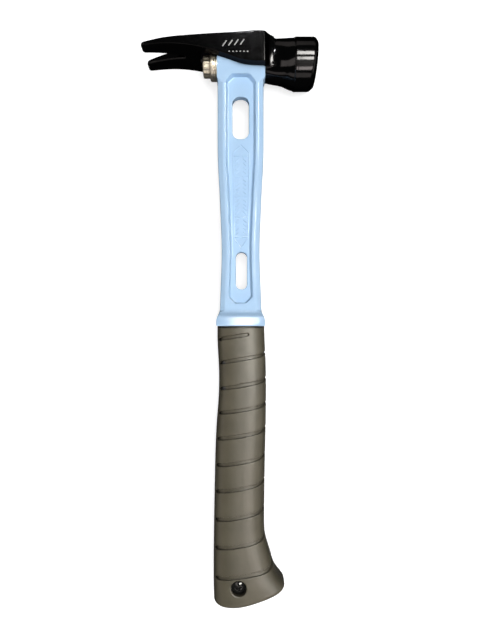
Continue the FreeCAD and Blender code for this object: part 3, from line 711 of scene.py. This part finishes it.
def bar_outline(centre_x, centre_y, length, width, angle):
    """Outline of a bar with round ends, turned by the angle in degrees."""
    turn = math.radians(angle)
    outline = []
    for end, first in ((1, -90), (-1, 90)):
        for step in range(0, 181, 30):
            around = math.radians(first + step)
            along = end * (length - width) / 2 + width / 2 * math.cos(around)
            across = width / 2 * math.sin(around)
            outline.append((centre_x + along * math.cos(turn) - across * math.sin(turn),
                            centre_y + along * math.sin(turn) + across * math.cos(turn)))
    return outline


def raised(name, bars, base, height, slot, bevel, material=None):
    """Low bars with a rounded top edge on a surface that faces +Z: (x, y, length, width, angle) of each."""
    levels = [(0.0, 0.0)] + [(bevel * inset, height - bevel * drop) for inset, drop in MARK_EDGE]
    points, faces = [], []
    for centre_x, centre_y, length, width, angle in bars:
        rings = []
        for inset, level in levels:
            outline = bar_outline(centre_x, centre_y, length - 2 * inset, width - 2 * inset, angle)
            rings.append(range(len(points), len(points) + len(outline)))
            points += [(x, y, base + level) for x, y in outline]
        faces += [rings[0][::-1], rings[-1]]
        for lower, upper in zip(rings, rings[1:]):
            faces += [(lower[k - 1], lower[k], upper[k], upper[k - 1]) for k in range(len(lower))]
    add_piece(name, np.array(points), faces, slot, material=material)


def cheek_marks():
    """Plain slanted bars over a row of dots."""
    bars = [(-11.0 + 4.2 * step, 196.6 + 0.35 * step, 5.0, MARK_WIDTH, 55) for step in range(4)]
    dots = [(-7.6 + 2.6 * step, 190.9, 1.1, 0.9, 0) for step in range(6)]
    return bars + dots


def panel_ticks():
    """Two columns of slanted bars, with a level bar at every fifth place."""
    ticks = []
    for row in range(21):
        for centre_x, lean in ((-1.9, 38), (3.6, -38)):
            level = row % 5 == 0
            length, angle = (4.2, 0) if level else (3.4, lean)
            ticks.append((centre_x, 61.5 + 3.0 * row, length, MARK_WIDTH, angle))
    return ticks


def panel_outline():
    """Beads along a long hexagon with pointed ends."""
    corners = [(0.7, 130.6), (-5.2, 124.0), (-4.4, 60.6), (0.7, 53.2), (5.8, 60.6), (7.0, 124.0)]
    beads = []
    for (x0, y0), (x1, y1) in zip(corners, corners[1:] + corners[:1]):
        length = math.hypot(x1 - x0, y1 - y0) + 0.7
        angle = math.degrees(math.atan2(y1 - y0, x1 - x0))
        beads.append(((x0 + x1) / 2, (y0 + y1) / 2, length, MARK_WIDTH, angle))
    return beads


raised("panel_outline", panel_outline(), WEB_HALF - 0.1, 0.7, "blue_handle", 0.34)
raised("panel_ticks", panel_ticks(), WEB_HALF - 0.1, 0.8, "blue_handle", 0.34)
raised("cheek_marks", cheek_marks(), CHEEK_HALF - 0.05, 0.1, "black_steel", 0.02, etched())

# The CAD's own magnet and core stay, with these materials
for node, slot in (("nail_magnet", "magnet_nickel"), ("grip_core", "core_plastic")):
    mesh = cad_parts[node].data
    mesh.materials.clear()
    mesh.materials.append(MATERIALS[slot])


# Floor, lights and camera

# Metres
FLOOR_RADIUS, FLOOR_CURVE, WALL_HEIGHT = 2.2, 0.8, 4.0
FLOOR_SIDES = 96
CAMERA_HEIGHT = 0.360


def add_floor():
    """Round floor that curves up into a plain wall."""
    profile = [(0.02, 0.0), (FLOOR_RADIUS, 0.0)]
    for step in range(1, 13):
        turn = math.radians(7.5 * step)
        profile.append((FLOOR_RADIUS + FLOOR_CURVE * math.sin(turn), FLOOR_CURVE * (1 - math.cos(turn))))
    profile.append((FLOOR_RADIUS + FLOOR_CURVE, WALL_HEIGHT))
    shape = bmesh.new()
    around = [math.radians(360 / FLOOR_SIDES * step) for step in range(FLOOR_SIDES)]
    rings = []
    for radius, height in profile:
        rings.append([shape.verts.new((radius * math.cos(a), radius * math.sin(a), height)) for a in around])
    shape.faces.new(rings[0])
    for inner, outer in zip(rings, rings[1:]):
        for k in range(FLOOR_SIDES):
            shape.faces.new((inner[k - 1], outer[k - 1], outer[k], inner[k])).smooth = True
    mesh = bpy.data.meshes.new("floor")
    shape.to_mesh(mesh)
    shape.free()
    floor = bpy.data.objects.new("floor", mesh)
    bpy.context.scene.collection.objects.link(floor)
    material, _, shader = new_material("pale_floor")
    shader.inputs["Base Color"].default_value = (0.5, 0.5, 0.5, 1)
    shader.inputs["Emission Color"].default_value = (1, 1, 1, 1)
    shader.inputs["Emission Strength"].default_value = 0.72
    shader.inputs["Roughness"].default_value = 0.8
    shader.inputs["Specular IOR Level"].default_value = 0.1
    mesh.materials.append(material)
    floor.visible_glossy = False
    floor.visible_diffuse = False


def add_light(name, centre, size, radiance, colour, gloss, tilt=0, turn=0):
    """Flat light, placed in design millimetres and facing down unless tilted, for gloss or for the rest."""
    data = bpy.data.lights.new(name, "AREA")
    data.shape = "RECTANGLE"
    data.size, data.size_y = size[0] * MM, size[1] * MM
    data.energy = radiance * math.pi * data.size * data.size_y
    data.color = colour
    light = bpy.data.objects.new(name, data)
    light.location = Vector((SHIFT + np.array(centre)) * MM)
    light.rotation_euler = (math.radians(tilt), 0, math.radians(turn))
    light.visible_glossy = gloss
    light.visible_diffuse = not gloss
    bpy.context.scene.collection.objects.link(light)


add_floor()
WARM, DIM, WHITE = (1.0, 0.98, 0.90), (1.0, 0.90, 0.84), (1.0, 1.0, 1.0)
# Gloss only: bright strips, dim panes between them, and dim walls all round
add_light("strip_far", (364, 489, 700), (512, 202), 32.0, WARM, True)
add_light("strip_over", (364, 193, 700), (512, 130), 27.0, WARM, True)
add_light("glow_over", (364, -81, 700), (512, 414), 0.9, DIM, True)
add_light("pane_near", (364, -425, 700), (512, 270), 8.0, DIM, True)
add_light("glow_near", (-150, -900, 420), (1500, 420), 1.0, DIM, True, 90)
add_light("strip_side", (410, 65, 700), (420, 126), 40.0, WARM, True)
add_light("glow_left", (-450, 120, 700), (400, 420), 1.8, DIM, True)
add_light("glow_far", (0, 1500, 450), (2000, 600), 0.7, DIM, True, -90)
add_light("glow_front", (1500, 0, 450), (2000, 600), 1.3, DIM, True, 90, 90)
add_light("glow_back", (-1500, 0, 450), (2000, 600), 1.3, DIM, True, 90, -90)
add_light("small_pane", (15, 720, 700), (24, 84), 130.0, WHITE, True)
# Soft light for everything but gloss
add_light("soft_top", (300, 50, 1300), (1000, 1000), 7.0, WHITE, False)
add_light("soft_near", (100, -1100, 900), (1200, 700), 2.2, WHITE, False, 50)

world = bpy.data.worlds.new("studio")
world.use_nodes = True
world.node_tree.nodes["Background"].inputs["Color"].default_value = (0.95, 0.97, 1.0, 1)
world.node_tree.nodes["Background"].inputs["Strength"].default_value = 0.06
bpy.context.scene.world = world
bpy.context.scene.view_settings.view_transform = "Standard"

camera_data = bpy.data.cameras.new("camera")
camera_data.lens = 27.06
camera_data.sensor_width = 36.0
camera = bpy.data.objects.new("camera", camera_data)
camera.location = (SHIFT[0] * MM, SHIFT[1] * MM, SHIFT[2] * MM + CAMERA_HEIGHT)
bpy.context.scene.collection.objects.link(camera)
bpy.context.scene.camera = camera
